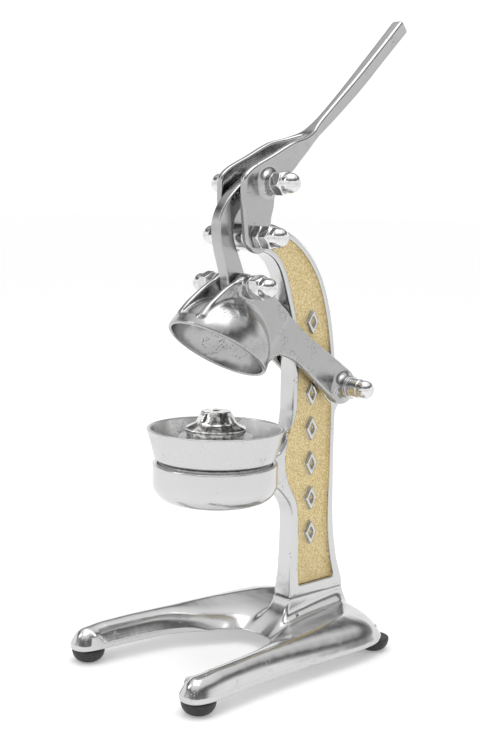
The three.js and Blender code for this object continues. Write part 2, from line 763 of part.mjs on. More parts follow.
function leverHandle() {
  const [pivotY, pivotZ] = handlePivot;
  const [tipY, tipZ] = handleTip;
  const throat = [pivotY + 78.8, pivotZ + 87.6];
  const length = Math.hypot(tipY - throat[0], tipZ - throat[1]);
  const along = [(tipY - throat[0]) / length, (tipZ - throat[1]) / length];
  const across = ([y, z], offset) => [y - along[1] * offset, z + along[0] * offset];
  const deepest = [throat[0] + along[0] * 0.36 * length, throat[1] + along[1] * 0.36 * length];
  const side = [
    ...arc(handlePivot, forkEndRadius, 180, 360, 12),
    [pivotY + forkEndRadius + 0.4, pivotZ + 14],
    ...smooth([
      [linkTop[0] + 6.5, linkTop[1] - 18],
      [linkTop[0] + 7.5, linkTop[1] - 9],
      [linkTop[0] + 13, linkTop[1] - 1],
      [linkTop[0] + 25.6, linkTop[1] + 9],
      [linkTop[0] + 36.1, linkTop[1] + 17.8],
      [linkTop[0] + 49.6, linkTop[1] + 27.7],
      across(throat, -throatSize[1] / 2),
      across(deepest, -shaftBelly[1]),
    ]),
    across(handleTip, -tipSize[1] / 2),
    across(handleTip, tipSize[1] / 2),
    ...smooth([
      across(deepest, shaftBelly[0]),
      across(throat, throatSize[1] / 2),
      [throat[0] - 12, throat[1] - 3.6],
      [linkTop[0] + 43.6, linkTop[1] + 37.4],
      [linkTop[0] + 27.4, linkTop[1] + 33],
      [linkTop[0] + 3.5, linkTop[1] + 21.6],
      [linkTop[0] - 18.6, linkTop[1] + 10.6],
      [linkTop[0] - 25, linkTop[1] + 4],
      [linkTop[0] - 25.8, linkTop[1] - 6],
      [linkTop[0] - 25.6, linkTop[1] - 18],
    ]),
  ];
  const legEnd = linkTop[0] + 27;
  const right = [
    [forkOuter, pivotY - forkEndRadius - 20],
    [forkOuter, legEnd],
    ...smooth([
      [forkOuter - 1, legEnd + 6],
      [forkOuter * 0.72, legEnd + 21],
      [forkOuter * 0.45, legEnd + 33],
      [throatSize[0] / 2 + 0.2, throat[0]],
    ]),
    [tipSize[0] / 2, tipY + tipSize[1]],
  ];
  const gap = [
    [halfFork, pivotY - forkEndRadius - 40],
    [halfFork, legEnd],
    ...smooth([
      [halfFork - 0.4, legEnd + 4],
      [halfFork * 0.68, legEnd + 15],
      [halfFork * 0.28, legEnd + 23],
      [0, legEnd + 25],
    ]),
  ];
  const mirror = (points) => points.map(([x, y]) => [-x, y]);
  const plan = [...right, ...mirror(right).toReversed()];
  const gapPlan = [...gap, ...mirror(gap.slice(0, -1)).toReversed()];
  const [low, high] = [pivotZ - 60, tipZ + 40];
  const blank = plateX(side, -forkOuter - 2, forkOuter + 2).intersect(plateZ(plan, low, high));
  const bosses = [-1, 1].map((s) =>
    rodX(linkTop, handleBossRadius, ...spanX(s, forkOuter - 1, forkOuter + handleBossReach)),
  );
  return cut(
    join(cut(blank, plateZ(gapPlan, low, high)), ...bosses),
    rodX(handlePivot, studRadius + fitGap, -60, 60),
    rodX(linkTop, studRadius + fitGap, -60, 60),
  );
}

// ---- Studs, nuts, washers and screws ---------------------------------------------

const stud = (at, nutAt) => {
  const reach = nutAt + nutDomeStart - 1;
  return rodX(at, studRadius, -reach, reach);
};

function hexPrism(at, flats, x0, x1) {
  const radius = flats / Math.sqrt(3);
  return plateX(arc(at, radius, 0, 360, 6).slice(0, -1), x0, x1);
}

// A nut with a domed end, hexagonal or round at its foot.
function domedNut(at, seat, side, hexagonal) {
  const dome = arc([0, 0], nutDomeRadius, 0, 90, 4).map(([r, x]) => [
    Math.max(r, 0),
    side * (seat + nutDomeStart + x),
  ]);
  const cap = revolveX([[0, side * seat], [nutDomeRadius, side * seat], ...dome], at);
  const foot = hexagonal
    ? hexPrism(at, nutFlats, ...spanX(side, seat, seat + nutHexHeight))
    : rodX(at, nutDomeRadius + 0.4, ...spanX(side, seat, seat + nutHexHeight));
  const bore = rodX(at, studRadius + fitGap, ...spanX(side, seat - 1, seat + nutDomeStart));
  return cut(join(cap, foot), bore);
}

const ringX = (at, side, x0, x1) =>
  cut(
    rodX(at, washerRadius, ...spanX(side, x0, x1)),
    rodX(at, studRadius + fitGap, ...spanX(side, x0 - 1, x1 + 1)),
  );

const lockNut = (at, side, x0, x1) =>
  cut(
    hexPrism(at, nutFlats, ...spanX(side, x0, x1)),
    rodX(at, studRadius + fitGap, ...spanX(side, x0 - 1, x1 + 1)),
  );

function columnBolt(y) {
  const seat = pocketRoofHeight - washerThickness - 2 * fitGap;
  const head = plateZ(arc([0, y], 13 / Math.sqrt(3), 0, 360, 6).slice(0, -1), seat - 5.3, seat);
  return join(head, rodZ([0, y], columnBoltRadius, seat - 1, columnFootHeight + columnBoltReach));
}

function columnWasher(y) {
  const top = pocketRoofHeight - fitGap;
  const hole = rodZ([0, y], columnBoltRadius + fitGap, top - 5, top + 1);
  return cut(rodZ([0, y], 8, top - washerThickness, top), hole);
}

// ---- Materials -------------------------------------------------------------------

const finish = (color, roughness, metalness) =>
  new THREE.MeshStandardMaterial({ color, roughness, metalness });
const castAluminium = finish(0xc9cbcd, 0.22, 1);
const polishedCone = finish(0xd4d2cc, 0.08, 1);
const plated = finish(0xd8dade, 0.1, 1);
const steel = finish(0xb4b6b8, 0.3, 1);
const blackRubber = finish(0x1c1c1d, 0.65, 0);

// ---- Assembly --------------------------------------------------------------------

function mesh(name, body, material) {
  const { vertProperties, triVerts } = body.getMesh();
  const geometry = new THREE.BufferGeometry();
  geometry.setAttribute("position", new THREE.BufferAttribute(vertProperties, 3));
  geometry.setIndex(new THREE.BufferAttribute(triVerts, 1));
  geometry.computeVertexNormals();
  const made = new THREE.Mesh(geometry, material);
  made.name = name;
  return made;
}

const sides = [
  { name: "right", side: 1 },
  { name: "left", side: -1 },
];

const juicer = new THREE.Group();

juicer.add(mesh("base_casting", baseCasting(), castAluminium));
juicer.add(mesh("column_casting", columnCasting(), castAluminium));
for (const { name, at } of footPlaces) {
  juicer.add(mesh(`foot_${name}`, foot(at), blackRubber));
  juicer.add(mesh(`foot_stud_${name}`, rodZ(at, footStudRadius, 4.4, legBottom + 9, 12), steel));
}
columnBoltPlaces.forEach((y, i) => {
  const place = ["front", "rear"][i];
  juicer.add(mesh(`column_bolt_${place}`, columnBolt(y), steel));
  juicer.add(mesh(`column_bolt_washer_${place}`, columnWasher(y), steel));
});

juicer.add(mesh("handle_pivot_stud", stud(handlePivot, handleNutAt), steel));
juicer.add(mesh("arm_pivot_stud", stud(armPivot, armNutAt), steel));
for (const { name, side } of sides) {
  const faceGap = [halfColumn + fitGap, halfFork - fitGap];
  const lockSpan = [forkOuter + fitGap, handleNutAt - fitGap];
  const ringSpan = [armNutAt - fitGap - washerThickness, armNutAt - fitGap];
  juicer.add(mesh(`handle_pivot_washer_${name}`, ringX(handlePivot, side, ...faceGap), steel));
  juicer.add(mesh(`handle_lock_nut_${name}`, lockNut(handlePivot, side, ...lockSpan), plated));
  juicer.add(mesh(`handle_pivot_nut_${name}`, domedNut(handlePivot, handleNutAt, side, true), plated));
  juicer.add(mesh(`arm_spacer_${name}`, ringX(armPivot, side, ...faceGap), steel));
  juicer.add(mesh(`arm_washer_${name}`, ringX(armPivot, side, ...ringSpan), plated));
  juicer.add(mesh(`arm_pivot_nut_${name}`, domedNut(armPivot, armNutAt, side, false), plated));
}

juicer.add(mesh("strainer_cup", strainerCup(), polishedCone));

const handleGroup = new THREE.Group();
handleGroup.add(mesh("handle", leverHandle(), castAluminium));
handleGroup.add(mesh("link_top_stud", stud(linkTop, linkTopNutAt), steel));
for (const { name, side } of sides) {
  handleGroup.add(mesh(`link_top_nut_${name}`, domedNut(linkTop, linkTopNutAt, side, true), plated));
}
juicer.add(handleGroup);

juicer.add(mesh("link", linkBar(), castAluminium));

const headGroup = new THREE.Group();
headGroup.position.set(0, armPivot[0], armPivot[1]);
headGroup.rotation.x = -THREE.MathUtils.degToRad(openAngle);
const domeGroup = new THREE.Group();
domeGroup.position.set(0, -armReach, -armRise);
domeGroup.add(mesh("press_head", pressHead(), castAluminium));
domeGroup.add(mesh("link_bottom_stud", stud(headLinkPivot, linkBottomNutAt), steel));
for (const { name, side } of sides) {
  const nut = domedNut(headLinkPivot, linkBottomNutAt, side, true);
  domeGroup.add(mesh(`link_bottom_nut_${name}`, nut, plated));
}
headGroup.add(domeGroup);
juicer.add(headGroup);

// the origin lies on the floor, under the middle of the part's length
juicer.updateMatrixWorld(true);
const extent = new THREE.Box3().setFromObject(juicer, true);
juicer.position.y = -(extent.min.y + extent.max.y) / 2;

export default juicer;
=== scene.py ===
"""Looks of a hand-lever citrus press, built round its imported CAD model.

Castings, nuts and feet are solids given as signed distances. Each is sampled on a grid,
skinned with one vertex to a cell, and its vertices are then moved onto the exact surface,
so that edges have real radii and castings have real fillets.

Lengths below are millimetres, with the Z axis through the strainer cup and Z = 0 on the
floor; to_metres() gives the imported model's own frame. The user stands at -Y.
"""

import json
import math

import bpy
import numpy as np
from mathutils import Matrix, Vector


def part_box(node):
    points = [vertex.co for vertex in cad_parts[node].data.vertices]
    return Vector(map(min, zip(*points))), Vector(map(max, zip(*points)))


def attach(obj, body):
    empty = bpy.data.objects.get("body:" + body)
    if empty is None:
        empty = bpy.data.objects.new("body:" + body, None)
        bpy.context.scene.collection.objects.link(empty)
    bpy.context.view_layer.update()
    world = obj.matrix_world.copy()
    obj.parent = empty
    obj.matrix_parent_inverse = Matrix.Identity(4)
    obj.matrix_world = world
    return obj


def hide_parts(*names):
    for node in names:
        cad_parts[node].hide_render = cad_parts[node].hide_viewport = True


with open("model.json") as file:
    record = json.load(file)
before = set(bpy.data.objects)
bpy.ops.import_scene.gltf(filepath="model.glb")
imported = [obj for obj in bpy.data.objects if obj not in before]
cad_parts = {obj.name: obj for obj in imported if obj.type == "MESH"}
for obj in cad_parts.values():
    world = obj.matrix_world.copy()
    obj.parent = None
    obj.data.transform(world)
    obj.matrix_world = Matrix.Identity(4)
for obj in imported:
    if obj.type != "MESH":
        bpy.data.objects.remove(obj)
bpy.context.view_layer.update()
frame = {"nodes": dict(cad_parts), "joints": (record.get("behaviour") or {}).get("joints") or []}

MM = 0.001
COARSER = 1.0

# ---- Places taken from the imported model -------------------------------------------


def middle(node):
    """Middle of a CAD node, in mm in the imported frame."""
    low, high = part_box(node)
    return (low + high) / 2 / MM


CUP_Y = middle("strainer_cup").y


def pivot(node):
    """[y, z] of a stud's axis."""
    at = middle(node)
    return np.array([at.y - CUP_Y, at.z])


def bearing(step):
    return math.atan2(step[1], step[0])


joints = {joint["name"]: joint for joint in frame["joints"]}
HANDLE_PIVOT = pivot("handle_pivot_stud")
LINK_TOP = pivot("link_top_stud")
LINK_BOTTOM = pivot("link_bottom_stud")
ARM_PIVOT = pivot("arm_pivot_stud")
BOWL_RIM = joints["cup_turn"]["pos_m"][2] / MM
LEG_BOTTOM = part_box("base_casting")[0].z / MM
PEDESTAL_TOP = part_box("base_casting")[1].z / MM
COLUMN_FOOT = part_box("column_casting")[0].z / MM
FOOT_NODES = [f"foot_{end}_{side}" for end in ("front", "rear") for side in ("right", "left")]

# ---- Sizes --------------------------------------------------------------------------

HALF_COLUMN = 8.65
HALF_FORK = 10.5
PANEL_DEPTH = 3.0
BOWL_RADIUS = 49.1
BOWL_WALL = 3.9
BOWL_DEPTH = 30.2
DOME_RADIUS = 41.5
DOME_WALL = 3.6
ARM_LOCAL = np.array([127.0, 39.8])
LUG_LOCAL = np.array([-12.7, 50.7])
OPEN_ANGLE = bearing(LUG_LOCAL - ARM_LOCAL) - bearing(LINK_BOTTOM - ARM_PIVOT)
HALF_LINK = 5.2
STUD_RADIUS = 5.0
COLUMN_MIDDLE = 108.7

# ---- Signed distances -----------------------------------------------------------------


def both(a, b, radius):
    """Where both solids are, with their common edge rounded to a radius."""
    corner = np.hypot(np.maximum(a + radius, 0), np.maximum(b + radius, 0))
    return np.minimum(np.maximum(a, b), -radius) + corner


def either(a, b, radius):
    """Two solids joined with a fillet of that radius."""
    return -both(-a, -b, radius)


def without(a, b, radius):
    """The first solid with the second cut away, its new edge rounded."""
    return both(a, -b, radius)


def span(x, low, high):
    return np.abs(x - (low + high) / 2) - (high - low) / 2


def disc(u, v, centre, radius):
    return np.hypot(u - centre[0], v - centre[1]) - radius


def smoothstep(x, low, high):
    t = np.clip((x - low) / (high - low), 0, 1)
    return t * t * (3 - 2 * t)


def spline(points, steps=8, closed=False):
    """A centripetal Catmull-Rom line through rows of numbers."""
    p = np.array(points, float)
    if closed:
        p = np.vstack([p[-1:], p, p[:2]])
    else:
        p = np.vstack([2 * p[0] - p[1], p, 2 * p[-1] - p[-2]])
    line = []
    for a, b, c, d in zip(p[:-3], p[1:-2], p[2:-1], p[3:]):
        ta = 0.0
        tb = ta + np.linalg.norm(b - a) ** 0.5
        tc = tb + np.linalg.norm(c - b) ** 0.5
        td = tc + np.linalg.norm(d - c) ** 0.5
        for t in np.linspace(tb, tc, steps, endpoint=False):
            ab = ((tb - t) * a + (t - ta) * b) / (tb - ta)
            bc = ((tc - t) * b + (t - tb) * c) / (tc - tb)
            cd = ((td - t) * c + (t - tc) * d) / (td - tc)
            abc = ((tc - t) * ab + (t - ta) * bc) / (tc - ta)
            bcd = ((td - t) * bc + (t - tb) * cd) / (td - tb)
            line.append(((tc - t) * abc + (t - tb) * bcd) / (tc - tb))
    if not closed:
        line.append(p[-2])
    return np.array(line)


def arc(centre, radius, start, end, steps=24):
    angle = np.radians(np.linspace(start, end, steps + 1))
    return np.stack([centre[0] + radius * np.cos(angle), centre[1] + radius * np.sin(angle)], 1)


def strip(stations, border=None, steps=8):
    """Outline of a band whose middle runs through stations of [u, v, half width]."""
    line = spline(stations, steps)
    along = np.gradient(line[:, :2], axis=0)
    along /= np.linalg.norm(along, axis=1)[:, None]
    across = np.stack([along[:, 1], -along[:, 0]], 1)
    half = line[:, 2] - (border(line[:, 1]) if border else 0)
    right = line[:, :2] + across * half[:, None]
    left = line[:, :2] - across * half[:, None]
    return np.vstack([right, left[::-1]])


def line_distance(line, u, v):
    """Distance to an open line of points."""
    best = np.full(u.shape, 1e12)
    for (au, av), (bu, bv) in zip(line[:-1], line[1:]):
        eu, ev = bu - au, bv - av
        t = np.clip(((u - au) * eu + (v - av) * ev) / (eu * eu + ev * ev), 0, 1)
        best = np.minimum(best, (u - au - t * eu) ** 2 + (v - av - t * ev) ** 2)
    return np.sqrt(best)


def polygon(points, u, v):
    """Signed distance to a closed outline, negative inside it."""
    p = np.array(points, float)
    p = p[np.linalg.norm(p - np.roll(p, 1, axis=0), axis=1) > 1e-6]
    ring = np.vstack([p, p[:1]])
    inside = np.zeros(u.shape, bool)
    for (au, av), (bu, bv) in zip(ring[:-1], ring[1:]):
        if av != bv:
            inside ^= ((av > v) != (bv > v)) & (u < au + (v - av) * (bu - au) / (bv - av))
    return np.where(inside, -1, 1) * line_distance(ring, u, v)


class Chart:
    """A function of two coordinates, sampled once on a fine lattice and softened."""

    def __init__(self, function, low, high, soft=0.7, pitch=0.5):
        self.low = np.array(low, float)
        self.pitch = pitch
        counts = np.ceil((np.array(high, float) - self.low) / pitch).astype(int) + 1
        u, v = (self.low[k] + pitch * np.arange(counts[k]) for k in (0, 1))
        self.values = self.softened(function(*np.meshgrid(u, v, indexing="ij")), soft / pitch)

    @staticmethod
    def softened(values, sigma):
        reach = int(3 * sigma) + 1
        steps = np.arange(-reach, reach + 1)
        weights = np.exp(-0.5 * (steps / sigma) ** 2)
        weights /= weights.sum()
        for _ in range(2):
            padded = np.pad(values, ((reach, reach), (0, 0)), mode="edge")
            rows = len(values)
            values = sum(w * padded[i : i + rows] for i, w in enumerate(weights)).T
        return values

    def __call__(self, u, v):
        place, cell, part = [], [], []
        for k, x in enumerate((u, v)):
            at = (x - self.low[k]) / self.pitch
            held = np.clip(at, 0, self.values.shape[k] - 1.001)
            place.append(at - held)
            cell.append(held.astype(int))
            part.append(held - cell[-1])
        (i, j), (s, t) = cell, part
        g = self.values
        near = g[i, j] * (1 - s) + g[i + 1, j] * s
        far = g[i, j + 1] * (1 - s) + g[i + 1, j + 1] * s
        return near * (1 - t) + far * t + np.hypot(*place) * self.pitch


def outline(points, soft=0.7, margin=12):
    p = np.array(points, float)
    low, high = p.min(0) - margin, p.max(0) + margin
    return Chart(lambda u, v: polygon(p, u, v), low, high, soft)


# ---- From distances to meshes -----------------------------------------------------------

BLOCK = 8


def samples(field, low, high, pitch):
    """The field on a grid of blocks. Only blocks near the surface are sampled finely."""
    counts = np.ceil((high - low) / (BLOCK * pitch)).astype(int)
    corner = [low[k] + BLOCK * pitch * np.arange(counts[k]) for k in range(3)]
    corners = np.stack(np.meshgrid(*corner, indexing="ij"), -1).reshape(-1, 3)
    centres = corners + BLOCK * pitch / 2
    at_centre = field(*centres.T)
    grid = np.where(at_centre < 0, -1e3, 1e3).reshape(counts)
    for axis in range(3):
        grid = np.repeat(grid, BLOCK, axis)
    grid = np.pad(grid, ((0, 1),) * 3, mode="edge")
    near = np.flatnonzero(np.abs(at_centre) < BLOCK * pitch * 1.25)
    step = np.arange(BLOCK + 1)
    local = np.stack(np.meshgrid(step, step, step, indexing="ij"), -1).reshape(-1, 3)
    for some in np.array_split(near, len(near) // 1500 + 1):
        points = (corners[some][:, None, :] + local[None] * pitch).reshape(-1, 3)
        values = field(*points.T)
        first = np.stack(np.unravel_index(some, counts), 1) * BLOCK
        index = (first[:, None, :] + local[None]).reshape(-1, 3)
        grid[tuple(index.T)] = values
    return grid


def skin(grid, low, pitch):
    """Vertices and quads of the surface where the grid changes sign."""
    inside = grid < 0
    count = np.zeros(tuple(n - 1 for n in grid.shape), np.int8)
    corners = [(i, j, k) for i in (0, 1) for j in (0, 1) for k in (0, 1)]
    for i, j, k in corners:
        count += inside[i : i + count.shape[0], j : j + count.shape[1], k : k + count.shape[2]]
    cells = np.argwhere((count > 0) & (count < 8))
    number = np.full(count.shape, -1, np.int32)
    number[tuple(cells.T)] = np.arange(len(cells))
    total, crossings = np.zeros((len(cells), 3)), np.zeros(len(cells))
    for axis in range(3):
        step = np.eye(3, dtype=int)[axis]
        for start in (c for c in corners if c[axis] == 0):
            a = grid[tuple((cells + start).T)]
            b = grid[tuple((cells + start + step).T)]
            cross = (a < 0) != (b < 0)
            share = np.where(cross, a / np.where(cross, a - b, 1), 0)
            total += np.where(cross[:, None], np.array(start) + share[:, None] * step, 0)
            crossings += cross
    points = low + (cells + total / crossings[:, None]) * pitch
    quads = []
    for axis in range(3):
        step, side, up = (np.eye(3, dtype=int)[(axis + k) % 3] for k in range(3))
        ahead = np.roll(inside, -1, axis)
        edges = np.argwhere(inside != ahead)
        ring = [edges, edges - side, edges - side - up, edges - up]
        quad = np.stack([number[tuple(c.T)] for c in ring], 1)
        flip = inside[tuple(edges.T)]
        quad[flip] = quad[flip][:, ::-1]
        quads.append(quad)
    return points, np.vstack(quads)


def settled(points, quads, field, pitch, rounds=4):
    """Evens out the vertices and moves them onto the field's zero surface."""
    a = quads.ravel()
    b = np.roll(quads, 1, axis=1).ravel()
    pairs = np.concatenate([a, b]), np.concatenate([b, a])
    degree = np.bincount(pairs[0], minlength=len(points))
    reach = 0.25 * pitch
    for i in range(rounds):
        if i < rounds - 1:
            mean = [np.bincount(pairs[0], points[pairs[1], k], len(points)) / degree for k in range(3)]
            points = points + 0.5 * (np.stack(mean, 1) - points)
        value = field(*points.T)
        slope = np.empty_like(points)
        for k in range(3):
            ahead, behind = points.copy(), points.copy()
            ahead[:, k] += reach
            behind[:, k] -= reach
            slope[:, k] = (field(*ahead.T) - field(*behind.T)) / (2 * reach)
        steep = np.maximum((slope**2).sum(1), 0.2)
        move = np.clip(value / steep, -pitch, pitch)
        points = points - slope * move[:, None]
    return points


def make_mesh(name, points, quads, smooth=True):
    mesh = bpy.data.meshes.new(name)
    mesh.vertices.add(len(points))
    mesh.vertices.foreach_set("co", points.astype(np.float32).ravel())
    mesh.loops.add(quads.size)
    mesh.loops.foreach_set("vertex_index", quads.astype(np.int32).ravel())
    mesh.polygons.add(len(quads))
    mesh.polygons.foreach_set("loop_start", np.arange(0, quads.size, quads.shape[1], dtype=np.int32))
    mesh.polygons.foreach_set("use_smooth", np.full(len(quads), smooth))
    mesh.update(calc_edges=True)
    mesh.validate()
    return mesh


def solid(name, field, low, high, pitch):
    """The mesh of a solid, with low and high just outside it."""
    pitch = pitch * COARSER
    low, high = np.array(low, float), np.array(high, float)
    points, quads = skin(samples(field, low, high, pitch), low, pitch)
    points = settled(points, quads, field, pitch)
    return make_mesh(name, points, quads)


TO_METRES = Matrix.Scale(MM, 4) @ Matrix.Translation((0, CUP_Y, 0))


def turn_about(at, angle, local=(0, 0)):
    """Puts local [y, z] on at, turned about X."""
    back = Matrix.Translation((0, -local[0], -local[1]))
    return Matrix.Translation((0, at[0], at[1])) @ Matrix.Rotation(angle, 4, "X") @ back


HEAD_PLACE = turn_about(ARM_PIVOT, -OPEN_ANGLE, ARM_LOCAL)


def piece(name, mesh, body, material, stands_for=(), place=Matrix.Identity(4)):
    """Shows a mesh as a piece that rides on a body and stands for CAD nodes."""
    mesh = mesh.copy()
    mesh.name = name
    mesh.transform(TO_METRES @ place)
    if place.determinant() < 0:
        mesh.flip_normals()
    mesh.materials.clear()
    mesh.materials.append(material)
    made = bpy.data.objects.new(name, mesh)
    bpy.context.scene.collection.objects.link(made)
    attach(made, body)
    if stands_for:
        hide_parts(*stands_for)
    return made


# ---- Materials ------------------------------------------------------------------------


class Painter:
    """A material's nodes, made in order and joined by name."""

    def __init__(self, name, metallic, roughness, **settings):
        self.material = bpy.data.materials.new(name)
        self.material.use_nodes = True
        self.tree = self.material.node_tree
        self.shader = self.tree.nodes["Principled BSDF"]
        self.shader.inputs["Metallic"].default_value = metallic
        self.shader.inputs["Roughness"].default_value = roughness
        for key, value in settings.items():
            self.shader.inputs[key.replace("_", " ")].default_value = value
        self.coordinates = self.tree.nodes.new("ShaderNodeTexCoord").outputs["Object"]
        self.normal = None

    def node(self, kind, settings=None, **inputs):
        made = self.tree.nodes.new("ShaderNode" + kind)
        for key, value in (settings or {}).items():
            setattr(made, key, value)
        for key, value in inputs.items():
            socket = made.inputs[int(key[1:])] if key[0] == "_" else made.inputs[key]
            if isinstance(value, bpy.types.NodeSocket):
                self.tree.links.new(value, socket)
            else:
                socket.default_value = value
        return made

    def noise(self, size_mm, detail=3.0, stretch=(1, 1, 1)):
        """Noise from 0 to 1 whose blotches are about that size."""
        scaled = self.node("Mapping", Vector=self.coordinates, Scale=stretch)
        made = self.node("TexNoise", Vector=scaled.outputs[0], Scale=1 / (size_mm * MM), Detail=detail)
        return made.outputs["Fac"]

    def cells(self, size_mm, output="Distance"):
        made = self.node("TexVoronoi", Vector=self.coordinates, Scale=1 / (size_mm * MM))
        return made.outputs[output]

    def remap(self, value, low, high, to_low, to_high):
        names = {"From Min": low, "From Max": high, "To Min": to_low, "To Max": to_high}
        return self.node("MapRange", Value=value, **names).outputs[0]

    def product(self, a, b):
        return self.node("Math", {"operation": "MULTIPLY"}, _0=a, _1=b).outputs[0]

    def mix(self, share, a, b):
        made = self.node("Mix", {"data_type": "RGBA"}, _0=share, _6=a, _7=b)
        return made.outputs[2]

    def bump(self, height, depth_mm, strength=1.0):
        inputs = {"Height": height, "Distance": depth_mm * MM, "Strength": strength}
        if self.normal is not None:
            inputs["Normal"] = self.normal
        self.normal = self.node("Bump", **inputs).outputs[0]

    def finish(self, colour, roughness=None):
        for name, value in (("Base Color", colour), ("Roughness", roughness), ("Normal", self.normal)):
            if isinstance(value, bpy.types.NodeSocket):
                self.tree.links.new(value, self.shader.inputs[name])
            elif value is not None:
                self.shader.inputs[name].default_value = value
        return self.material


def grey(value, warmth=0.0):
    return (value * (1 + warmth), value, value * (1 - warmth), 1)


def casting(name, tone, rough, wave_mm, pits, warmth=0.0):
    """Hand-polished cast metal: soft waves, haze that comes and goes, and clustered pits with painted
    shade darkening them.
    """
    paint = Painter(name, 1.0, rough)
    haze = paint.noise(9, 4)
    grain = paint.noise(0.7, 2, (1, 1, 0.12))
    where = paint.remap(paint.noise(16, 2), 0.62 - pits * 0.3, 0.70 - pits * 0.25, 0, 1)
    pits_and_painted_shade = paint.product(paint.remap(paint.cells(1.5), 0.12, 0.3, 1, 0), where)
    paint.bump(paint.noise(14, 1), wave_mm)
    paint.bump(grain, 0.012)
    paint.bump(paint.remap(pits_and_painted_shade, 0, 1, 1, 0), 0.35)
    colour = paint.mix(haze, grey(tone * 0.93, warmth), grey(tone, warmth))
    # Painted shade: the pits are coloured dark to stand in for the shade inside them.
    colour = paint.mix(pits_and_painted_shade, colour, grey(tone * 0.35))
    return paint.finish(colour, paint.remap(haze, 0.3, 0.75, rough * 0.75, rough * 1.45))


def plated(name, tone, rough, warmth=0.0):
    """Bright plating with a little grime and fine wear."""
    paint = Painter(name, 1.0, rough)
    grime = paint.noise(3.5, 4)
    paint.bump(paint.noise(5, 1), 0.05)
    film = paint.remap(grime, 0.45, 0.75, 0, 1)
    colour = paint.mix(film, grey(tone, warmth), grey(tone * 0.8, warmth))
    return paint.finish(colour, paint.remap(grime, 0.35, 0.8, rough, rough * 3))


def stained(name):
    """Mirror polish with darker clouds left between the polished spots."""
    paint = Painter(name, 1.0, 0.08)
    paint.bump(paint.noise(4, 1), 0.12)
    clouds = paint.remap(paint.noise(4.5, 2), 0.42, 0.6, 0, 1)
    return paint.finish(paint.mix(clouds, grey(0.68, 0.01), grey(0.24, 0.02)))


def gold_paint():
    """Sparkling paint over the sand-cast floor of the panels, with painted shade darkening the dips of
    the sand.
    """
    paint = Painter("gold_paint", 0.55, 0.45)
    sand_grain_and_dip_shade = paint.noise(1.1, 3)
    flakes = paint.cells(0.55, "Color")
    glint = paint.node("SeparateColor", _0=flakes).outputs[0]
    paint.bump(sand_grain_and_dip_shade, 0.45)
    paint.bump(glint, 0.10)
    tone = paint.mix(paint.noise(7, 3), (0.72, 0.58, 0.28, 1), (0.86, 0.72, 0.43, 1))
    # Painted shade: the dips of the sand texture are coloured darker gold.
    colour = paint.mix(paint.remap(sand_grain_and_dip_shade, 0.35, 0.6, 1, 0), tone, (0.52, 0.38, 0.15, 1))
    colour = paint.mix(paint.remap(glint, 0.86, 0.95, 0, 0.8), colour, (1.0, 0.93, 0.68, 1))
    return paint.finish(colour, paint.remap(glint, 0.0, 1.0, 0.55, 0.28))


def rubber():
    paint = Painter("black_rubber", 0.0, 0.5)
    dust = paint.noise(4, 5)
    paint.bump(paint.noise(0.8, 2), 0.05)
    colour = paint.mix(paint.remap(dust, 0.45, 0.8, 0, 1), grey(0.012), grey(0.035))
    return paint.finish(colour, paint.remap(dust, 0.3, 0.8, 0.42, 0.6))


polished = casting("polished_casting", 0.61, 0.16, 0.2, 0.0)
rough_cast = casting("head_casting", 0.44, 0.20, 0.22, 0.35)
satin = casting("satin_casting", 0.60, 0.30, 0.06, 0.12)
bright = plated("bright_plating", 0.72, 0.05)
worn = casting("worn_casting", 0.46, 0.2, 0.2, 0.15)
cone_finish = stained("polished_cone")
steel = plated("plain_steel", 0.62, 0.2)
gold = gold_paint()
black = rubber()

# ---- Base -----------------------------------------------------------------------------

OUTER_EDGE = [
    (0, 145), (20, 143.6), (38, 141), (52, 136.5), (62, 130.5), (70.5, 123), (76, 113.5), (78.8, 100),
    (79.3, 80), (78.6, 55), (77.8, 30), (77.7, 0), (78.6, -25), (79.8, -48), (80.6, -66), (79.9, -76),
    (77, -82.5), (72.5, -85.8), (67.3, -86.7), (62, -85.8), (57.6, -82.5), (54.8, -76),
]
LIP_DEPTH = 5.5
PEDESTAL_FILLET = 9
INNER_EDGE = [
    (53.9, -66), (52, -45), (49.6, -22), (46.4, -5), (37.9, 14.4), (30, 25.7), (21.2, 36.9),
    (11.5, 46.3), (0, 53),
]
RIDGE = [
    (67.3, -76), (67.2, -60), (65.5, -30), (62.5, 0), (59.5, 30), (55.5, 60), (50, 90), (44, 110),
    (33, 124), (16, 131), (0, 133),
]
RIDGE_HEIGHT = [(-80, 26.8), (-76, 27.4), (-57, 29), (-30, 29.5), (100, 29.5), (124, 28), (133, 27.5)]


def with_mirror(points):
    """A line that ends on the middle plane, carried on to the other side."""
    p = spline(points, 6)
    return np.vstack([p, p[-2::-1] * (-1, 1)])


